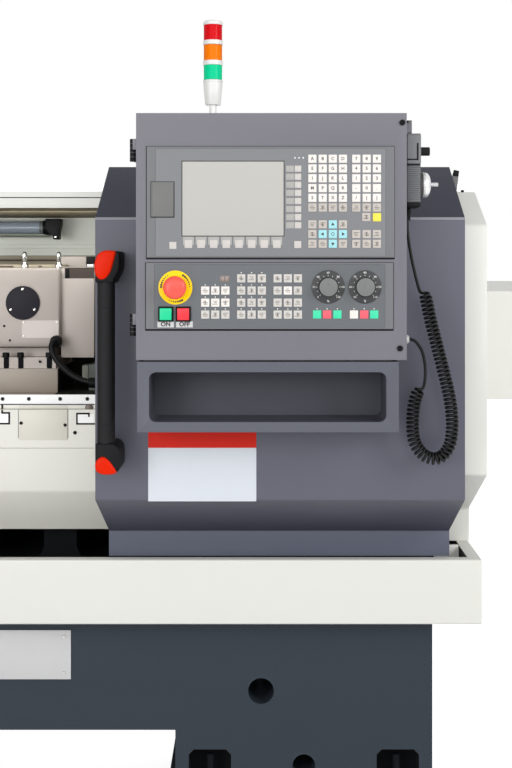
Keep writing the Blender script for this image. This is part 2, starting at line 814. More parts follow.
def guard_path():
    """The guards' section in YZ, from the roof down to the skirt inside the tray."""
    return [(ROOF_FRONT - GAP, GUARD_TOP), (GUARD_TOP_FRONT, GUARD_TOP),
            (GUARD_FRONT, GUARD_FRONT_HIGH), (GUARD_FRONT, GUARD_FRONT_LOW),
            (GUARD_SKIRT, GUARD_SKIRT_HIGH), (GUARD_SKIRT, TRAY_RIM + GAP)]


def make_guard(name, side, inner):
    """A fixed sheet guard with the end wall that closes the machine on that side."""
    ends = sorted((side * (GUARD_END - SHEET / 2), inner))
    guard = folded(guard_path(), *ends, name)
    wall_path = guard_path() + [(ROOF_BACK - SHEET - 2 * GAP, TRAY_RIM + GAP),
                                (ROOF_BACK - SHEET - 2 * GAP, ROOF_TOP - SHEET - GAP),
                                (ROOF_FRONT + SHEET + GAP, ROOF_TOP - SHEET - GAP),
                                (ROOF_FRONT + SHEET + GAP, ROOF_LIP - GAP),
                                (ROOF_FRONT - GAP, ROOF_LIP - GAP)]
    wall = prism(wall_path, *sorted((side * (GUARD_END - GUARD_WALL), side * GUARD_END)), "X")
    join(guard, wall)
    if side < 0:
        hole = rod((-GUARD_END - RUN, SPINDLE_Y, SPINDLE_Z),
                   (-GUARD_END + GUARD_WALL + RUN, SPINDLE_Y, SPINDLE_Z), SPINDLE_RADIUS + RUN)
        cut(guard, hole)
    return finish(guard, WHITE, 0.4)


def end_cover_outline(inset=0.0):
    """The end cover's section in YZ, with its sloping top."""
    return [(END_COVER_FRONT + inset, END_COVER_LOW + inset), (END_COVER_BACK - inset, END_COVER_LOW + inset),
            (END_COVER_BACK - inset, END_COVER_BACK_HIGH - inset),
            (END_COVER_FRONT + inset, END_COVER_HIGH - inset)]


def make_end_cover():
    """Raised service cover on the right end wall."""
    start = GUARD_END + GAP
    cover = prism(end_cover_outline(), start, END_COVER_END, "X", "end_cover")
    hollow = prism(end_cover_outline(SHEET), start - RUN, END_COVER_END - SHEET, "X")
    return finish(cut(cover, hollow), WHITE, 0.4)


def make_roof():
    """Roof sheet with a front fascia, a rear lip and the door rail along its front edge."""
    path = [(ROOF_FRONT, ROOF_LIP), (ROOF_FRONT, ROOF_TOP), (ROOF_BACK, ROOF_TOP), (ROOF_BACK, ROOF_LIP)]
    roof = folded(path[::-1], -GUARD_END, GUARD_END, "roof_panel")
    rail = box((-GUARD_END, ROOF_FRONT, ROOF_TOP - SHEET / 2),
               (GUARD_END, ROOF_FRONT + RAIL_WIDTH, ROOF_TOP + RAIL_HEIGHT))
    return finish(join(roof, rail), WHITE, 0.4)


def make_rear_wall():
    """Rear wall between the end walls, standing on the tray's rear flange."""
    half = GUARD_END - GUARD_WALL - GAP
    back = ROOF_BACK - SHEET - GAP
    wall = box((-half, back - SHEET, TRAY_RIM + GAP), (half, back, ROOF_TOP - SHEET - GAP), "rear_wall")
    return finish(wall, WHITE, 0.5)


def make_lamp():
    """Tube lamp hung from the roof by an end bracket at each end."""
    lamp = rod((LAMP_LEFT, LAMP_Y, LAMP_Z), (LAMP_RIGHT, LAMP_Y, LAMP_Z), LAMP_RADIUS, "work_lamp")
    clip = round_corners((LAMP_Y - LAMP_CLIP_HALF, LAMP_Z - LAMP_CLIP_HALF),
                         (LAMP_Y + LAMP_CLIP_HALF, ROOF_TOP - SHEET - GAP), LAMP_CLIP_HALF * 0.3, 2)
    for x in (LAMP_LEFT, LAMP_RIGHT - LAMP_CLIP_WIDTH):
        join(lamp, prism(clip, x, x + LAMP_CLIP_WIDTH, "X"))
    return finish(lamp, (0.85, 0.86, 0.85), 0.3)


def make_tower():
    """Tower light: stem and tapered base, then a green, an amber and a red lamp."""
    at = (TOWER_X, TOWER_Y, 0)
    foot = ROOF_TOP + GAP
    ring = TOWER_RADIUS + TOWER_RING
    neck = TOWER_GREEN_LOW - 2 * TOWER_RING
    stem = [(0, TOWER_GREEN_LOW), (ring, TOWER_GREEN_LOW), (ring, neck), (TOWER_RADIUS, neck - TOWER_RING),
            (TOWER_RADIUS * 0.84, TOWER_BASE_LOW), (TOWER_STEM_RADIUS, TOWER_BASE_LOW),
            (TOWER_STEM_RADIUS, foot + TOWER_FOOT_HEIGHT), (TOWER_FOOT_RADIUS, foot + TOWER_FOOT_HEIGHT / 2),
            (TOWER_FOOT_RADIUS, foot), (0, foot)]
    finish(turned(stem, at, (0, 0, 1), "tower_stem", 20), (0.8, 0.8, 0.8), 0.4)
    rows = (("tower_green", TOWER_GREEN_LOW, TOWER_AMBER_LOW, (0.02, 0.55, 0.30)),
            ("tower_amber", TOWER_AMBER_LOW, TOWER_RED_LOW, (0.9, 0.25, 0.01)),
            ("tower_red", TOWER_RED_LOW, TOWER_TOP, (0.75, 0.02, 0.05)))
    for name, low, high, colour in rows:
        step = high - 2 * TOWER_RING
        lens = [(0, high), (TOWER_RADIUS, high), (ring, high - TOWER_RING), (ring, step - 3 * TOWER_RING),
                (TOWER_RADIUS, step - 4 * TOWER_RING), (TOWER_RADIUS, low + GAP), (0, low + GAP)]
        finish(turned(lens, at, (0, 0, 1), name, 20), colour, 0.25)


# Main drive

def make_spindle():
    """Hollow spindle with its nose flange and its grooved belt pulley."""
    at = (0, SPINDLE_Y, SPINDLE_Z)
    nose = CHUCK_LEFT - GAP
    profile = [(BAR_RADIUS, nose), (SPINDLE_NOSE_RADIUS, nose), (SPINDLE_NOSE_RADIUS, HEAD_RIGHT + GAP),
               (SPINDLE_RADIUS, HEAD_RIGHT + GAP), (SPINDLE_RADIUS, PULLEY_RIGHT),
               *pulley_rim(PULLEY_RADIUS), (SPINDLE_RADIUS, PULLEY_LEFT), (SPINDLE_RADIUS, SPINDLE_END),
               (BAR_RADIUS, SPINDLE_END)]
    return finish(turned(profile, at, (1, 0, 0), "spindle", 24), STEEL, 0.3, 1.0)


def pulley_rim(radius):
    """A pulley's rim with its vee grooves, from its right side to its left."""
    pitch_width = (PULLEY_RIGHT - PULLEY_LEFT) / BELT_GROOVES
    rim = []
    for i in range(BELT_GROOVES):
        high = PULLEY_RIGHT - i * pitch_width
        rim += [(radius, high), (radius, high - pitch_width * 0.4),
                (radius - GROOVE_DEPTH, high - pitch_width * 0.7)]
    return rim + [(radius, PULLEY_LEFT)]


def jaw_angles():
    return [math.radians(90 + 120 * i) for i in range(3)]


def spoke(low, high, inner, outer, half, centre_y, angle, name=None):
    """A block that reaches out from a line along X, turned to an angle about it."""
    block = box((low, -half, inner), (high, half, outer), name)
    block.data.transform(Matrix.Translation((0, centre_y, SPINDLE_Z))
                         @ Matrix.Rotation(angle - math.radians(90), 4, "X"))
    return block


def make_chuck():
    """Three-jaw chuck: a bored body with a slot for each jaw, and the stepped jaws."""
    bore = BAR_RADIUS + RUN
    profile = [(bore, CHUCK_RIGHT), (CHUCK_RADIUS - CHUCK_CHAMFER, CHUCK_RIGHT),
               (CHUCK_RADIUS, CHUCK_RIGHT - CHUCK_CHAMFER), (CHUCK_RADIUS, CHUCK_LEFT), (bore, CHUCK_LEFT)]
    chuck = turned(profile, (0, SPINDLE_Y, SPINDLE_Z), (1, 0, 0), "chuck_body", 32)
    root = CHUCK_RIGHT - JAW_ROOT
    half = JAW_WIDTH / 2
    jaws = []
    for i, angle in enumerate(jaw_angles()):
        cut(chuck, spoke(root - GAP, CHUCK_RIGHT + RUN, 0, CHUCK_RADIUS + RUN, half + GAP, SPINDLE_Y, angle))
        jaw = spoke(root, CHUCK_RIGHT + JAW_PROUD, JAW_INNER, JAW_OUTER, half, SPINDLE_Y, angle,
                    f"jaw_{i + 1}")
        step = spoke(CHUCK_RIGHT, JAW_NOSE, JAW_INNER, JAW_INNER + JAW_STEP, half, SPINDLE_Y, angle)
        jaws.append(finish(join(jaw, step), STEEL, 0.35, 1.0))
    finish(chuck, STEEL, 0.3, 1.0)
    return chuck, jaws


def make_motor():
    """Main motor on a foot bracket behind the left pedestal, its shaft out to the belt."""
    at = (MOTOR_Y, MOTOR_Z)
    motor = rod((MOTOR_LEFT, *at), (MOTOR_RIGHT, *at), MOTOR_RADIUS, "main_motor", sides=32)
    shaft = rod((MOTOR_SHAFT_END, *at), (MOTOR_LEFT + RUN, *at), MOTOR_SHAFT_RADIUS)
    bell = rod((MOTOR_RIGHT - RUN, *at), (MOTOR_RIGHT + MOTOR_BELL_LENGTH, *at), MOTOR_RADIUS - RUN,
               far_radius=MOTOR_BELL_RADIUS)
    foot = box((MOTOR_LEFT + MOTOR_FOOT_INSET, STAND_BACK + GAP, MOTOR_Z - MOTOR_FOOT_HALF),
               (MOTOR_RIGHT - MOTOR_FOOT_INSET, MOTOR_Y - MOTOR_RADIUS * 0.7, MOTOR_Z + MOTOR_FOOT_HALF))
    terminal = box((TERMINAL_LEFT, MOTOR_Y - TERMINAL_HALF, MOTOR_Z),
                   (TERMINAL_RIGHT, MOTOR_Y + TERMINAL_HALF, MOTOR_Z + MOTOR_RADIUS + TERMINAL_RISE))
    finish(join(motor, shaft, bell, foot, terminal), (0.10, 0.13, 0.15), 0.45)
    bore = MOTOR_SHAFT_RADIUS + GAP
    profile = [(bore, PULLEY_RIGHT), *pulley_rim(MOTOR_PULLEY_RADIUS), (bore, PULLEY_LEFT)]
    pulley = turned(profile, (0, *at), (1, 0, 0), "motor_pulley", 20)
    return finish(pulley, STEEL, 0.35, 1.0)


def belt_outline(extra, steps):
    """The line of a belt round both pulleys in YZ, set off from their rims."""
    top, low = Vector((SPINDLE_Y, SPINDLE_Z)), Vector((MOTOR_Y, MOTOR_Z))
    big, small = PULLEY_RADIUS + extra, MOTOR_PULLEY_RADIUS + extra
    along = low - top
    lean = math.asin((big - small) / along.length)
    heading = math.atan2(along.y, along.x)
    wrap = math.radians(90) + lean
    outline = []
    for centre, radius, first, last in (
            (top, big, heading + math.radians(90) - lean, heading + math.radians(270) + lean),
            (low, small, heading - wrap + 2 * lean, heading + wrap - 2 * lean)):
        reach = radius / math.cos((last - first) / steps / 2)
        for i in range(steps + 1):
            angle = first + (last - first) * i / steps
            outline.append((centre.x + reach * math.cos(angle), centre.y + reach * math.sin(angle)))
    return outline


def make_belt():
    """Drive belt round both pulleys."""
    belt = prism(belt_outline(BELT_CLEAR + BELT_THICK, 14), PULLEY_LEFT, PULLEY_RIGHT, "X", "drive_belt")
    cut(belt, prism(belt_outline(BELT_CLEAR, 14), PULLEY_LEFT - RUN, PULLEY_RIGHT + RUN, "X"))
    return finish(belt, BLACK, 0.7)


def make_belt_cover():
    """Cover over the belt on the left end wall, with a hole for the bar stock."""
    back = -GUARD_END - GAP
    cover = prism(belt_outline(BELT_COVER_MARGIN, 9), BELT_COVER_END, back, "X", "belt_cover")
    inner = BELT_COVER_END + SHEET
    hollow = prism(belt_outline(BELT_COVER_MARGIN - SHEET, 9), inner, back + RUN, "X")
    bar_hole = rod((BELT_COVER_END - RUN, SPINDLE_Y, SPINDLE_Z), (inner + 2 * RUN, SPINDLE_Y, SPINDLE_Z),
                   BAR_RADIUS + RUN)
    return finish(cut(cover, hollow, bar_hole), WHITE, 0.4)


# Carriage

def make_screw():
    """Ball screw of the carriage along the bed's front, and its servo motor at the right."""
    at = (SCREW_Y, SCREW_Z)
    journal = SCREW_JOURNAL_RADIUS
    end = SCREW_RIGHT - 2 * RUN
    block_left = SCREW_RIGHT - SCREW_BLOCK_LENGTH
    shoulder = block_left - 5 * RUN
    start = SCREW_LEFT + SCREW_JOURNAL_LENGTH
    profile = [(0, end), (journal, end), (journal, shoulder), (SCREW_SHAFT_RADIUS, shoulder - RUN),
               (SCREW_SHAFT_RADIUS, start + RUN), (journal, start), (journal, SCREW_LEFT), (0, SCREW_LEFT)]
    screw = finish(turned(profile, (0, *at), (1, 0, 0), "z_screw", 16), STEEL, 0.25, 1.0)
    half = SERVO_HALF
    servo = box((SERVO_LEFT, SCREW_Y - half, SCREW_Z - half),
                (SERVO_BODY_RIGHT, SCREW_Y + half, SCREW_Z + half), "z_servo")
    cap = rod((SERVO_BODY_RIGHT - RUN, *at), (SERVO_RIGHT, *at), SERVO_CAP_RADIUS)
    block = box((block_left, SCREW_Y - SCREW_BLOCK_HALF, SCREW_Z - SCREW_BLOCK_HALF),
                (SERVO_LEFT + RUN, BED_FRONT - GAP, SCREW_Z + SCREW_BLOCK_HALF))
    bore = rod((block_left - RUN, *at), (end + GAP, *at), journal + GAP, sides=16)
    join(servo, cap, block)
    cut(servo, bore)
    return screw, finish(servo, BLACK, 0.4)


def make_saddle():
    """Saddle on the ways: a bridge with front and rear wings and a nut housing below."""
    under = BED_TOP + GAP
    hang = BED_TOP - WAY_HEIGHT - SADDLE_HANG
    front = BED_FRONT - WAY_OVERHANG - GAP
    back = BED_BACK + WAY_OVERHANG + GAP
    outline = [(SADDLE_FRONT, SADDLE_WING_LOW), (front, SADDLE_WING_LOW), (front, under), (back, under),
               (back, hang), (SADDLE_BACK, hang), (SADDLE_BACK, SADDLE_TOP), (SADDLE_FRONT, SADDLE_TOP)]
    saddle = prism(outline, SADDLE_LEFT, SADDLE_RIGHT, "X", "saddle")
    nut = box((CROSS_X - SCREW_NUT_HALF, SCREW_Y - SCREW_BLOCK_HALF, SCREW_Z - SCREW_BLOCK_HALF),
              (CROSS_X + SCREW_NUT_HALF, front, SADDLE_WING_LOW + RUN))
    reach = SCREW_NUT_HALF + RUN
    bore = rod((CROSS_X - reach, SCREW_Y, SCREW_Z), (CROSS_X + reach, SCREW_Y, SCREW_Z),
               SCREW_SHAFT_RADIUS + SCREW_BORE_CLEAR, sides=16)
    join(saddle, nut)
    cut(saddle, vee_groove(under, SADDLE_LEFT, SADDLE_RIGHT), bore)
    return finish(saddle, WHITE, 0.45)


def make_apron():
    """Sheet cover below the saddle's front, folded back at its foot."""
    top = SADDLE_WING_LOW - GAP
    path = [(SADDLE_FRONT + APRON_FLANGE, top), (SADDLE_FRONT, top), (SADDLE_FRONT, APRON_FOLD),
            (APRON_LOW_Y, APRON_LOW)]
    apron = folded(path, SADDLE_LEFT, SADDLE_RIGHT, "apron_cover")
    return finish(apron, WHITE, 0.4)


def make_cross_slide():
    """Cross slide on its dovetail, with the riser block and the junction box on it."""
    low = SADDLE_TOP + GAP
    slide = box((CROSS_LEFT, CROSS_FRONT, low), (CROSS_RIGHT, CROSS_BACK, CROSS_TOP), "cross_slide")
    bar = box((CROSS_LEFT, CROSS_BAR_FRONT, low), (CROSS_BAR_RIGHT, CROSS_BAR_BACK, CROSS_TOP))
    riser = box((CROSS_X - RISER_HALF, TURRET_FRONT - RISER_PROUD, CROSS_TOP - RUN),
                (CROSS_X + RISER_HALF, TURRET_BACK, RISER_TOP))
    junction = box((JUNCTION_LEFT, CROSS_BAR_FRONT + 4 * RUN, CROSS_TOP - RUN),
                   (JUNCTION_RIGHT, CROSS_BAR_BACK - RUN, JUNCTION_TOP))
    join(slide, bar, riser, junction)
    return finish(slide, WHITE, 0.45)


def make_turret_body():
    """Turret body on its bolted foot, with two eye bolts on top and a bearing cap in front."""
    low = RISER_TOP + GAP
    body = box((TURRET_LEFT, TURRET_FRONT, TURRET_LOW - RUN), (TURRET_RIGHT, TURRET_BACK, TURRET_HIGH),
               "turret_body")
    rounded(body, TURRET_EDGE)
    foot = box((TURRET_LEFT + TURRET_FOOT_PROUD, TURRET_FRONT - TURRET_FOOT_PROUD, low),
               (TURRET_RIGHT - TURRET_EDGE, TURRET_BACK, TURRET_FOOT_HIGH))
    inset = TURRET_NECK_INSET
    neck = box((TURRET_LEFT + inset, TURRET_FRONT + inset, TURRET_FOOT_HIGH - RUN),
               (TURRET_RIGHT - inset, TURRET_BACK - inset, TURRET_LOW + RUN))
    join(body, foot, neck)
    y, z = TURRET_FRONT + EYE_SETBACK, TURRET_HIGH + EYE_RISE
    for x in (EYE_LEFT, EYE_RIGHT):
        join(body, rod((x - EYE_HALF, y, z), (x + EYE_HALF, y, z), EYE_RADIUS, sides=20))
        cut(body, rod((x - EYE_HALF - RUN, y, z), (x + EYE_HALF + RUN, y, z), EYE_HOLE_RADIUS, sides=16))
    z = TURRET_HIGH - TURRET_CAP_DROP
    join(body, rod((TURRET_CAP_X, TURRET_FRONT + RUN, z), (TURRET_CAP_X, TURRET_FRONT - TURRET_CAP_HEIGHT, z),
                   TURRET_CAP_RADIUS))
    return finish(body, GREY_BEIGE, 0.5)


def make_turret_cover():
    """Motor cover at the turret's right, with a shallow recess in its top."""
    start = TURRET_RIGHT + GAP
    front, back = TURRET_FRONT + MOTOR_COVER_INSET, TURRET_BACK - MOTOR_COVER_INSET
    cover = box((start, front, MOTOR_COVER_LOW), (MOTOR_COVER_RIGHT, back, TURRET_HIGH), "turret_cover")
    rounded(cover, MOTOR_COVER_EDGE)
    rim = MOTOR_COVER_RIM
    cut(cover, box((start + rim, front + rim, TURRET_HIGH - MOTOR_COVER_RECESS),
                   (MOTOR_COVER_RIGHT - rim, back - rim, TURRET_HIGH + RUN)))
    return finish(cover, GREY_BEIGE, 0.5)


def make_conduit():
    """Ribbed conduit from the turret's elbow down to the junction box."""
    conduit = tube(smooth(CONDUIT_ROUTE, 2), CONDUIT_RADIUS, "turret_cable", 2)
    x, y, z = CONDUIT_ROUTE[0]
    elbow = rod((x, y - ELBOW_PROUD, z), (x, TURRET_FRONT - GAP, z), ELBOW_RADIUS, sides=16)
    x, y, z = CONDUIT_ROUTE[-1]
    nut = rod((x - CONDUIT_NUT, y, z), (JUNCTION_LEFT - GAP, y, z), ELBOW_RADIUS, sides=12)
    return finish(join(conduit, elbow, nut), BLACK, 0.6)


def make_disc():
    """Eight-station turret disc with a tool bit in each station."""
    half_step = math.pi / TOOL_STATIONS
    corners = [half_step * (2 * i + 1) for i in range(TOOL_STATIONS)]
    outline = [(TURRET_AXIS_Y + DISC_RADIUS * math.cos(angle), SPINDLE_Z + DISC_RADIUS * math.sin(angle))
               for angle in corners]
    disc = prism(outline, DISC_LEFT, DISC_RIGHT, "X", "turret_disc")
    for angle in corners:
        join(disc, spoke(TOOL_NOSE, DISC_LEFT + TOOL_TAIL, TOOL_SEAT, TOOL_REACH, TOOL_HALF, TURRET_AXIS_Y,
                         angle + half_step))
    return finish(disc, STEEL, 0.35, 1.0)


def make_x_servo():
    """Servo motor of the cross slide behind the saddle."""
    low = SADDLE_TOP + GAP
    servo = box((X_SERVO_LEFT, X_SERVO_FRONT, low),
                (X_SERVO_LEFT + 2 * X_SERVO_HALF, X_SERVO_FRONT + X_SERVO_LENGTH, low + 2 * X_SERVO_HALF),
                "x_servo")
    return finish(servo, BLACK, 0.4)


def tail_outline():
    """The tailstock's section: a foot as wide as the bed, a waist and a barrel round the quill."""
    foot = BED_TOP + GAP
    half = [(TAIL_WAIST_HALF, foot + TAIL_WAIST), (TAIL_HALF, SPINDLE_Z - TAIL_CHEST),
            (TAIL_HALF, SPINDLE_Z + TAIL_SHOULDER), (TAIL_CROWN_HALF, SPINDLE_Z + TAIL_CROWN)]
    outline = [(BED_FRONT, foot), (BED_BACK, foot), (BED_BACK, foot + TAIL_FOOT)]
    outline += [(SPINDLE_Y + out, z) for out, z in half]
    outline += [(SPINDLE_Y - out, z) for out, z in half[::-1]]
    return outline + [(BED_FRONT, foot + TAIL_FOOT)]


def make_tailstock():
    """Tailstock clamped on the ways and its quill with a 60 degree point."""
    tail = prism(tail_outline(), TAIL_LEFT, TAIL_RIGHT, "X", "tailstock")
    at = (SPINDLE_Y, SPINDLE_Z)
    bore = rod((TAIL_LEFT - RUN, *at), (TAIL_RIGHT - TAIL_WALL, *at), QUILL_RADIUS + GAP)
    finish(cut(tail, vee_groove(BED_TOP + GAP, TAIL_LEFT, TAIL_RIGHT), bore), CAST, 0.5)
    end = TAIL_RIGHT - TAIL_WALL - QUILL_BEHIND
    slim = QUILL_RADIUS * 0.55
    point_end = QUILL_POINT + slim / math.tan(math.radians(30))
    profile = [(0, end), (QUILL_RADIUS, end), (QUILL_RADIUS, QUILL_LEFT), (slim, QUILL_LEFT - 2 * RUN),
               (slim, point_end), (0, QUILL_POINT)]
    quill = turned(profile, (0, *at), (1, 0, 0), "quill", 24)
    return tail, finish(quill, STEEL, 0.3, 1.0)


# Door and console

def make_door():
    """Sliding door: a folded sheet with closed ends, hung from the rail by two hangers."""
    path = [(DOOR_EDGE, DOOR_TOP), (DOOR_FRONT, DOOR_FRONT_HIGH), (DOOR_FRONT, DOOR_FRONT_LOW),
            (DOOR_EDGE, DOOR_SKIRT_HIGH), (DOOR_EDGE, DOOR_BOTTOM)]
    door = folded(path, DOOR_LEFT, DOOR_RIGHT, "door_shell")
    seat = ROOF_TOP + RAIL_HEIGHT + GAP
    edge = DOOR_EDGE - HANGER_OVERLAP
    for x in (DOOR_LEFT + HANGER_INSET, DOOR_RIGHT - HANGER_INSET):
        low, high = x - HANGER_WIDTH / 2, x + HANGER_WIDTH / 2
        web = box((low, edge, seat), (high, DOOR_EDGE + 2 * RUN, DOOR_TOP - HANGER_DROP))
        arm = box((low, edge, seat), (high, ROOF_FRONT + RAIL_WIDTH + HANGER_HOOK, seat + HANGER_THICK))
        join(door, web, arm)
    skin = offset_path(path[:-1], SHEET / 2)
    cheek = skin + offset_path(path[:-1], CHEEK_DEPTH)[::-1]
    for x in (DOOR_LEFT, DOOR_RIGHT - SHEET):
        join(door, prism(cheek, x, x + SHEET, "X"))
    return finish(door, SLATE, 0.42)


def offset_path(path, distance):
    """A path in YZ whose ends slope, moved inwards by a distance and ending on the same edges."""
    points = [Vector(point) for point in path]
    steps = [(b - a).normalized() for a, b in zip(points, points[1:])]
    sides = [Vector((-step.y, step.x)) for step in steps]
    moved = [points[0] + Vector((0, distance / sides[0].y))]
    for point, before, after in zip(points[1:], sides, sides[1:]):
        middle = (before + after).normalized()
        moved.append(point + middle * distance / middle.dot(before))
    moved.append(points[-1] + Vector((0, distance / sides[-1].y)))
    return [tuple(point) for point in moved]


def make_handle():
    """Tubular pull handle between two supports on the door's front."""
    rail = rod((HANDLE_X, HANDLE_Y, HANDLE_LOW), (HANDLE_X, HANDLE_Y, HANDLE_HIGH), HANDLE_RADIUS,
               "handle_tube", sides=20)
    finish(rail, BLACK, 0.45)
    half = HANDLE_RADIUS + HANDLE_END_WALL
    front = HANDLE_Y - half
    back = DOOR_FRONT - GAP
    ends = []
    for name, start, away in (("handle_end_top", HANDLE_HIGH, 1), ("handle_end_bottom", HANDLE_LOW, -1)):
        near = start + away * GAP
        outline = [(front, near), (front, start + away * HANDLE_END * 0.45),
                   (HANDLE_Y + HANDLE_END_RUN, start + away * HANDLE_END * 0.86),
                   (back, start + away * HANDLE_END), (back, near)]
        end = prism(outline, HANDLE_X - half, HANDLE_X + half, "X", name)
        ends.append(finish(rounded(end, HANDLE_END_EDGE, 3), (0.75, 0.04, 0.005), 0.4))
    return [rail, *ends]


def hinge_knuckle(pin, low, high, leaf_low, leaf_high):
    """A hinge's barrel round a standing pin, and the leaf that ties it to its plate."""
    barrel = rod((*pin, low), (*pin, high), HINGE_RADIUS, sides=12)
    leaf = box((*leaf_low, low + GAP), (*leaf_high, high - GAP))
    return barrel, leaf


def make_console():
    """Console housing on the door: a deep upper case and a storage pocket below it."""
    back = DOOR_FRONT - GAP
    front = CONSOLE_FACE + CONSOLE_FRONT_DEPTH
    case = box((CONSOLE_LEFT, front, CONSOLE_LOW), (CONSOLE_RIGHT, back, CONSOLE_HIGH), "console_box")
    hollow = box((CONSOLE_LEFT + SHEET, front - RUN, CONSOLE_LOW + SHEET),
                 (CONSOLE_RIGHT - SHEET, back - SHEET, CONSOLE_HIGH - SHEET))
    cut(case, hollow)
    pocket = box((POCKET_BOX_LEFT, CONSOLE_FACE, POCKET_BOX_LOW), (POCKET_BOX_RIGHT, back, POCKET_BOX_HIGH))
    neck = box((POCKET_BOX_LEFT + NECK_INSET, front + 2 * RUN, POCKET_BOX_HIGH - 2 * RUN),
               (POCKET_BOX_RIGHT - NECK_INSET, back - 2 * RUN, CONSOLE_LOW + SHEET / 2))
    join(case, pocket, neck)
    mouth = round_corners((POCKET_MOUTH_LEFT, POCKET_MOUTH_LOW), (POCKET_MOUTH_RIGHT, POCKET_MOUTH_HIGH),
                          POCKET_MOUTH_RADIUS)
    cut(case, prism(mouth, CONSOLE_FACE - RUN, CONSOLE_FACE + POCKET_MOUTH_DEPTH, "Y"))
    half = PENDANT_HOOK_HALF
    hook = box((CONSOLE_RIGHT - RUN, PENDANT_Y - half, PENDANT_LOW + PENDANT_HOOK_LOW),
               (PENDANT_LEFT - GAP, PENDANT_Y + half, PENDANT_HIGH + PENDANT_HOOK_RISE))
    lip = box((CONSOLE_RIGHT - RUN / 2, PENDANT_Y - half + RUN, PENDANT_HIGH + GAP),
              (CONSOLE_RIGHT + PENDANT_LIP, PENDANT_Y + half - RUN, PENDANT_HIGH + PENDANT_HOOK_RISE - RUN))
    join(case, hook, lip)
    for z in HINGE_HEIGHTS:
        join(case, *hinge_knuckle((HINGE_X, front), z - HINGE_LENGTH / 2, z - GAP, (HINGE_X, front + GAP),
                                  (CONSOLE_LEFT + RUN, front + HINGE_LEAF)))
    return finish(case, SLATE, 0.4)


def make_console_front():
    """Hinged console front with recesses for the two panels."""
    back = CONSOLE_FACE + CONSOLE_FRONT_DEPTH - GAP
    front = box((CONSOLE_LEFT, CONSOLE_FACE, CONSOLE_LOW), (CONSOLE_RIGHT, back, CONSOLE_HIGH),
                "console_door")
    for low, high in ((SCREEN_LOW, SCREEN_HIGH), (KEYPAD_LOW, KEYPAD_HIGH)):
        cut(front, box((PANEL_LEFT - GAP, CONSOLE_FACE - RUN, low - GAP),
                       (PANEL_RIGHT + GAP, CONSOLE_FACE + PANEL_THICK + GAP, high + GAP)))
    for x in (FEED_X, SPEED_X):
        cut(front, stem_hole(x, KNOB_Z, SPIGOT_RADIUS, CONSOLE_FACE, back + RUN))
    cut(front, stem_hole(STOP_X, STOP_Z, STOP_STEM_RADIUS, CONSOLE_FACE, back + RUN))
    for z in HINGE_HEIGHTS:
        join(front, *hinge_knuckle((HINGE_X, back + GAP), z + GAP, z + HINGE_LENGTH / 2,
                                   (HINGE_X, back - HINGE_LEAF / 2), (CONSOLE_LEFT + RUN, back - GAP)))
    return finish(front, SLATE, 0.4)


def stem_hole(x, z, radius, front, back):
    """A hole through a panel for the stem of a knob or a button."""
    return rod((x, front, z), (x, back, z), radius + 2 * GAP, sides=16)


def keys(columns, rows, face, half=KEY_HALF):
    """Raised membrane keys on a panel's face, at every crossing of the columns and rows."""
    return [box((x - half, face - KEY_HEIGHT, z - half), (x + half, face + RUN / 2, z + half))
            for x in columns for z in rows]


def bezel(x):
    """The raised square collar that a push button slides in, as four bars."""
    face = CONSOLE_FACE
    inner = BUTTON_HALF + GAP
    outer = inner + BEZEL_WALL
    front, back = face - BEZEL_HEIGHT, face + RUN / 2
    return [box((x + low_x, front, BUTTON_Z + low_z), (x + high_x, back, BUTTON_Z + high_z))
            for low_x, low_z, high_x, high_z in (
                (-outer, -outer, outer, -inner), (-outer, inner, outer, outer),
                (-outer, -outer + BEZEL_WALL / 2, -inner, outer - BEZEL_WALL / 2),
                (inner, -outer + BEZEL_WALL / 2, outer, outer - BEZEL_WALL / 2))]


def pitch(first, step, count):
    return [first + step * i for i in range(count)]


def make_screen():
    """Screen panel with its typing keys, and the display set in it."""
    face = CONSOLE_FACE
    screen = box((PANEL_LEFT, face, SCREEN_LOW), (PANEL_RIGHT, face + PANEL_THICK, SCREEN_HIGH),
                 "screen_panel")
    cut(screen, box((DISPLAY_LEFT - GAP, face - RUN, DISPLAY_LOW - GAP),
                    (DISPLAY_RIGHT + GAP, face + DISPLAY_THICK + GAP, DISPLAY_HIGH + GAP)))
    cut(screen, box((FLAP_LEFT - GAP, face - RUN, FLAP_LOW - GAP),
                    (FLAP_RIGHT + GAP, face + FLAP_THICK + GAP, FLAP_HIGH + GAP)))
    rows = pitch(TYPING_KEYS_Z, KEY_PITCH_Z, 6)
    for first, columns in ((LETTER_KEYS_X, 4), (NUMBER_KEYS_X, 3)):
        join(screen, *keys(pitch(first, KEY_PITCH_X, columns), rows, face))
    display = box((DISPLAY_LEFT, face, DISPLAY_LOW), (DISPLAY_RIGHT, face + DISPLAY_THICK, DISPLAY_HIGH),
                  "display")
    finish(display, (0.58, 0.57, 0.55), 0.25)
    return finish(screen, (0.23, 0.255, 0.275), 0.5), display


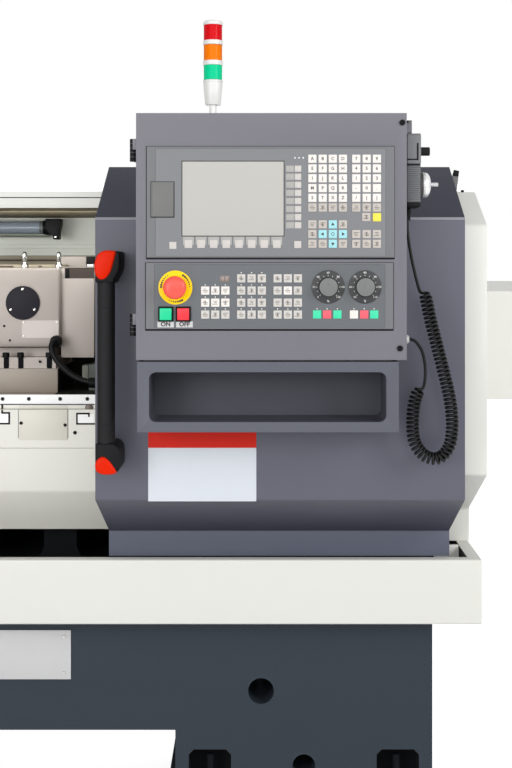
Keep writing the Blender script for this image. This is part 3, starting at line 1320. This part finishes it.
def make_keypad():
    """Keypad panel: three groups of keys, the stop button's collar and the push buttons' bezels."""
    face = CONSOLE_FACE
    keypad = box((PANEL_LEFT, face, KEYPAD_LOW), (PANEL_RIGHT, face + PANEL_THICK, KEYPAD_HIGH),
                 "control_panel")
    for first, rows in ((MODE_KEYS_X, 3), (AXIS_KEYS_X, 4), (TOOL_KEYS_X, 4)):
        join(keypad, *keys(pitch(first, MODE_PITCH_X, 3), pitch(BUTTON_Z, MODE_PITCH_Z, rows), face))
    collar = rod((STOP_X, face + RUN / 2, STOP_Z), (STOP_X, face - STOP_COLLAR_HEIGHT, STOP_Z),
                 STOP_COLLAR_RADIUS)
    join(keypad, collar)
    front, back = face - STOP_COLLAR_HEIGHT - RUN, face + PANEL_THICK + RUN
    cut(keypad, stem_hole(STOP_X, STOP_Z, STOP_STEM_RADIUS, front, back))
    for x in (START_X, OFF_X):
        join(keypad, *bezel(x))
    for x in (FEED_X, SPEED_X):
        cut(keypad, stem_hole(x, KNOB_Z, SPIGOT_RADIUS, front, back))
    return finish(keypad, (0.14, 0.165, 0.19), 0.5)


def make_flap():
    """Cover flap of the data port, hinged along its left edge."""
    flap = box((FLAP_LEFT, CONSOLE_FACE, FLAP_LOW), (FLAP_RIGHT, CONSOLE_FACE + FLAP_THICK, FLAP_HIGH),
               "port_flap")
    return finish(flap, (0.115, 0.120, 0.130), 0.5)


def make_stop():
    """Emergency stop: a mushroom head on a stem through the panel."""
    face = -CONSOLE_FACE
    tip = face + STOP_HEIGHT
    head = face + STOP_COLLAR_HEIGHT + STOP_TRAVEL + GAP
    deep = face - SPIGOT_DEPTH
    profile = [(0, tip), (STOP_RADIUS * 0.7, tip), (STOP_RADIUS, tip - STOP_CROWN),
               (STOP_RADIUS, tip - 2 * STOP_CROWN), (STOP_RADIUS * 0.6, head), (STOP_STEM_RADIUS, head),
               (STOP_STEM_RADIUS, deep), (0, deep)]
    stop = turned(profile, (STOP_X, 0, STOP_Z), (0, -1, 0), "estop_button", 24)
    return finish(stop, (0.9, 0.02, 0.01), 0.35)


def make_button(name, x, colour):
    """A square push button in its bezel."""
    back = CONSOLE_FACE - GAP - BUTTON_TRAVEL
    button = box((x - BUTTON_HALF, back - BUTTON_HEIGHT, BUTTON_Z - BUTTON_HALF),
                 (x + BUTTON_HALF, back, BUTTON_Z + BUTTON_HALF), name)
    return finish(rounded(button, BUTTON_EDGE), colour, 0.35)


def make_override(name, x):
    """An override knob: a tapered skirt with a grip bar, on a stem through the panel."""
    near = -CONSOLE_FACE + GAP
    top = near + KNOB_HEIGHT
    deep = -CONSOLE_FACE - SPIGOT_DEPTH
    profile = [(0, top), (KNOB_RADIUS * 0.85, top), (KNOB_RADIUS * 0.92, near + KNOB_SKIRT),
               (KNOB_RADIUS, near), (SPIGOT_RADIUS, near), (SPIGOT_RADIUS, deep), (0, deep)]
    knob = turned(profile, (x, 0, KNOB_Z), (0, -1, 0), name, 24)
    half = KNOB_BAR_HALF
    reach = KNOB_RADIUS * 0.8
    bar = box((x - half, -top - half, KNOB_Z - reach), (x + half, RUN - top, KNOB_Z + reach))
    return finish(join(knob, bar), BLACK, 0.4)


def make_controls():
    """Emergency stop, start and off buttons, and the two override knobs."""
    buttons = [make_button("start_button", START_X, (0.02, 0.60, 0.30)),
               make_button("off_button", OFF_X, (0.75, 0.05, 0.07))]
    knobs = [make_override("feed_knob", FEED_X), make_override("speed_knob", SPEED_X)]
    return make_stop(), buttons, knobs


def make_pendant():
    """Handheld pulse generator in its holder: case, handwheel and axis selector."""
    case = make_pendant_case()
    face = PENDANT_RIGHT
    deep = face - SPIGOT_DEPTH
    low = face + GAP
    high = low + PENDANT_WHEEL_THICK
    radius = PENDANT_WHEEL_RADIUS
    profile = [(0, high - RUN), (radius * 0.75, high - RUN), (radius * 0.85, high), (radius, high - RUN),
               (radius, low), (SPIGOT_RADIUS, low), (SPIGOT_RADIUS, deep), (0, deep)]
    wheel = turned(profile, (0, PENDANT_Y, PENDANT_WHEEL_Z), (1, 0, 0), "pendant_wheel", 28)
    crank_y = PENDANT_Y - radius * 0.62
    join(wheel, rod((high - 2 * RUN, crank_y, PENDANT_WHEEL_Z),
                    (high + PENDANT_CRANK_LENGTH, crank_y, PENDANT_WHEEL_Z), PENDANT_CRANK_RADIUS, sides=12))
    finish(wheel, (0.75, 0.75, 0.76), 0.3, 0.8)
    top = face + PENDANT_KNOB_HEIGHT
    profile = [(0, top), (PENDANT_KNOB_RADIUS, top), (PENDANT_KNOB_RADIUS, low), (SPIGOT_RADIUS, low),
               (SPIGOT_RADIUS, deep), (0, deep)]
    knob = turned(profile, (0, PENDANT_Y, PENDANT_KNOB_Z), (1, 0, 0), "pendant_knob", 16)
    return case, wheel, finish(knob, BLACK, 0.45)


def make_pendant_case():
    """The pulse generator's case, with a hole for each of its two spindles."""
    front, back = PENDANT_Y - PENDANT_DEPTH / 2, PENDANT_Y + PENDANT_DEPTH / 2
    foot, top = PENDANT_FOOT_CHAMFER, PENDANT_TOP_CHAMFER
    outline = [(front, PENDANT_LOW + foot), (front + foot, PENDANT_LOW), (back - foot, PENDANT_LOW),
               (back, PENDANT_LOW + foot), (back, PENDANT_HIGH - top), (back - top, PENDANT_HIGH),
               (front + top, PENDANT_HIGH), (front, PENDANT_HIGH - top)]
    case = prism(outline, PENDANT_LEFT, PENDANT_RIGHT, "X", "pendant_body")
    for z in (PENDANT_WHEEL_Z, PENDANT_KNOB_Z):
        cut(case, rod((PENDANT_RIGHT - SPIGOT_DEPTH - GAP, PENDANT_Y, z), (PENDANT_RIGHT + RUN, PENDANT_Y, z),
                      SPIGOT_RADIUS + GAP, sides=16))
    return finish(case, (0.10, 0.105, 0.11), 0.5)


def make_cord():
    """The pendant's cord: a straight lead, the curly stretch as one fat tube, a lead and its gland."""
    rim, nut, neck = GLAND_RADIUS, GLAND_RADIUS - 0.0015, CORD_RADIUS + RUN
    profile = [(0, GLAND_LENGTH), (neck, GLAND_LENGTH), (nut, GLAND_LENGTH * 0.7), (nut, GLAND_LENGTH * 0.3),
               (rim, GLAND_LENGTH * 0.3), (rim, 0), (0, 0)]
    gland = turned(profile, (CONSOLE_RIGHT + GAP, LEAD_BOTTOM[-1][1], GLAND_Z), (1, 0, 0), "cord_gland", 12)
    top = tube(smooth(LEAD_TOP, 3), CORD_RADIUS, "pendant_lead_top", 2)
    coil = tube(smooth(COIL_ROUTE, 2), COIL_RADIUS, "pendant_coil", 2)
    low = tube(smooth(LEAD_BOTTOM, 3), CORD_RADIUS, "pendant_lead_bottom", 2)
    for lead in (top, coil, low):
        finish(lead, BLACK, 0.5)
    return finish(gland, (0.6, 0.6, 0.6), 0.5), top, coil, low


# Electrical cabinet

def make_cabinet():
    """Electrical cabinet on the rear wall, with a hinged door that closes it."""
    front = ROOF_BACK + GAP
    back = HALF_DEPTH - CABINET_DOOR_THICK - GAP
    low = TRAY_RIM + GAP
    case = box((CABINET_LEFT, front, low), (CABINET_RIGHT, back, CABINET_HIGH), "cabinet")
    cut(case, box((CABINET_LEFT + SHEET, front + SHEET, low + SHEET),
                  (CABINET_RIGHT - SHEET, back + RUN, CABINET_HIGH - SHEET)))
    door = box((CABINET_LEFT, back + GAP, low), (CABINET_RIGHT, HALF_DEPTH, CABINET_HIGH), "cabinet_door")
    half, tall = CABINET_LATCH_HALF, CABINET_LATCH_HALF_HEIGHT
    cut(door, box((CABINET_LATCH_X - half, HALF_DEPTH - CABINET_LATCH_DEPTH, CABINET_LATCH_Z - tall),
                  (CABINET_LATCH_X + half, HALF_DEPTH + RUN, CABINET_LATCH_Z + tall)))
    pin = (CABINET_LEFT - HINGE_RADIUS - 0.0005, back + GAP / 2)
    for z in (low + CABINET_HINGE_INSET, (low + CABINET_HIGH) / 2, CABINET_HIGH - CABINET_HINGE_INSET):
        join(case, *hinge_knuckle(pin, z - CABINET_HINGE_HALF, z - GAP, (pin[0], back - 3 * HINGE_LEAF / 2),
                                  (CABINET_LEFT + RUN, back)))
        join(door, *hinge_knuckle(pin, z + GAP, z + CABINET_HINGE_HALF, (pin[0], back + GAP),
                                  (CABINET_LEFT + RUN, HALF_DEPTH - 2 * RUN)))
    return finish(case, WHITE, 0.45), finish(door, WHITE, 0.45), pin


def make_frame():
    """The pieces that stay where they are."""
    make_stand()
    make_tray()
    make_bed()
    make_headstock()
    make_guard("left_guard", -1, GUARD_INNER_LEFT)
    make_guard("right_guard", 1, GUARD_INNER_RIGHT)
    make_end_cover()
    make_roof()
    make_rear_wall()
    make_lamp()
    make_tower()
    make_belt()
    make_belt_cover()


def make_spindle_group():
    """Spindle, chuck and jaws on one axis, and the motor's pulley on another."""
    chuck, jaws = make_chuck()
    pivot("spindle_axis", (CHUCK_LEFT, SPINDLE_Y, SPINDLE_Z), make_spindle(), chuck, *jaws)
    pivot("motor_axis", (MOTOR_LEFT, MOTOR_Y, MOTOR_Z), make_motor())


def make_carriage_group():
    """Saddle, cross slide and turret, each carried by the one below, and the screw that drives them."""
    screw, servo = make_screw()
    pivot("screw_axis", (0, SCREW_Y, SCREW_Z), screw)
    disc_axis = pivot("turret_axis", (DISC_RIGHT, TURRET_AXIS_Y, SPINDLE_Z), make_disc())
    slide = pivot("cross_travel", (CROSS_X, 0, SADDLE_TOP), make_cross_slide(), make_turret_body(),
                  make_turret_cover(), make_conduit(), disc_axis)
    pivot("carriage_travel", (CROSS_X, 0, BED_TOP), make_saddle(), make_apron(), make_x_servo(), slide)


def make_tail_group():
    """Tailstock on the ways, which carries its quill."""
    tail, quill = make_tailstock()
    quill_travel = pivot("quill_travel", (TAIL_LEFT, SPINDLE_Y, SPINDLE_Z), quill)
    pivot("tailstock_travel", (TAIL_LEFT, SPINDLE_Y, BED_TOP), tail, quill_travel)


def make_door_group():
    """Everything that slides with the door, and the console front that swings on it."""
    stop, buttons, knobs = make_controls()
    case, wheel, dial = make_pendant()
    screen, display = make_screen()
    flap_hinge = pivot("flap_hinge", (FLAP_LEFT, CONSOLE_FACE, FLAP_LOW), make_flap())
    movers = [pivot(f"{knob.name}_axis", knob.location, knob) for knob in knobs]
    movers += [pivot("estop_travel", stop.location, stop)]
    movers += [pivot(f"{button.name}_travel", (0, CONSOLE_FACE, BUTTON_Z), button) for button in buttons]
    front = pivot("console_hinge", (HINGE_X, CONSOLE_FACE + CONSOLE_FRONT_DEPTH, CONSOLE_LOW),
                  make_console_front(), screen, display, make_keypad(), flap_hinge, *movers)
    pendant = [pivot(f"{turner.name}_axis", turner.location, turner) for turner in (wheel, dial)]
    pivot("door_travel", (DOOR_LEFT, DOOR_EDGE, DOOR_TOP), make_door(), *make_handle(), make_console(), case,
          *make_cord(), front, *pendant)


def make_cabinet_group():
    """The electrical cabinet, whose door swings on the pin of its hinges."""
    case, door, pin = make_cabinet()
    pivot("cabinet_hinge", (*pin, TRAY_RIM), door)


clear_scene()
make_frame()
make_spindle_group()
make_carriage_group()
make_tail_group()
make_door_group()
make_cabinet_group()
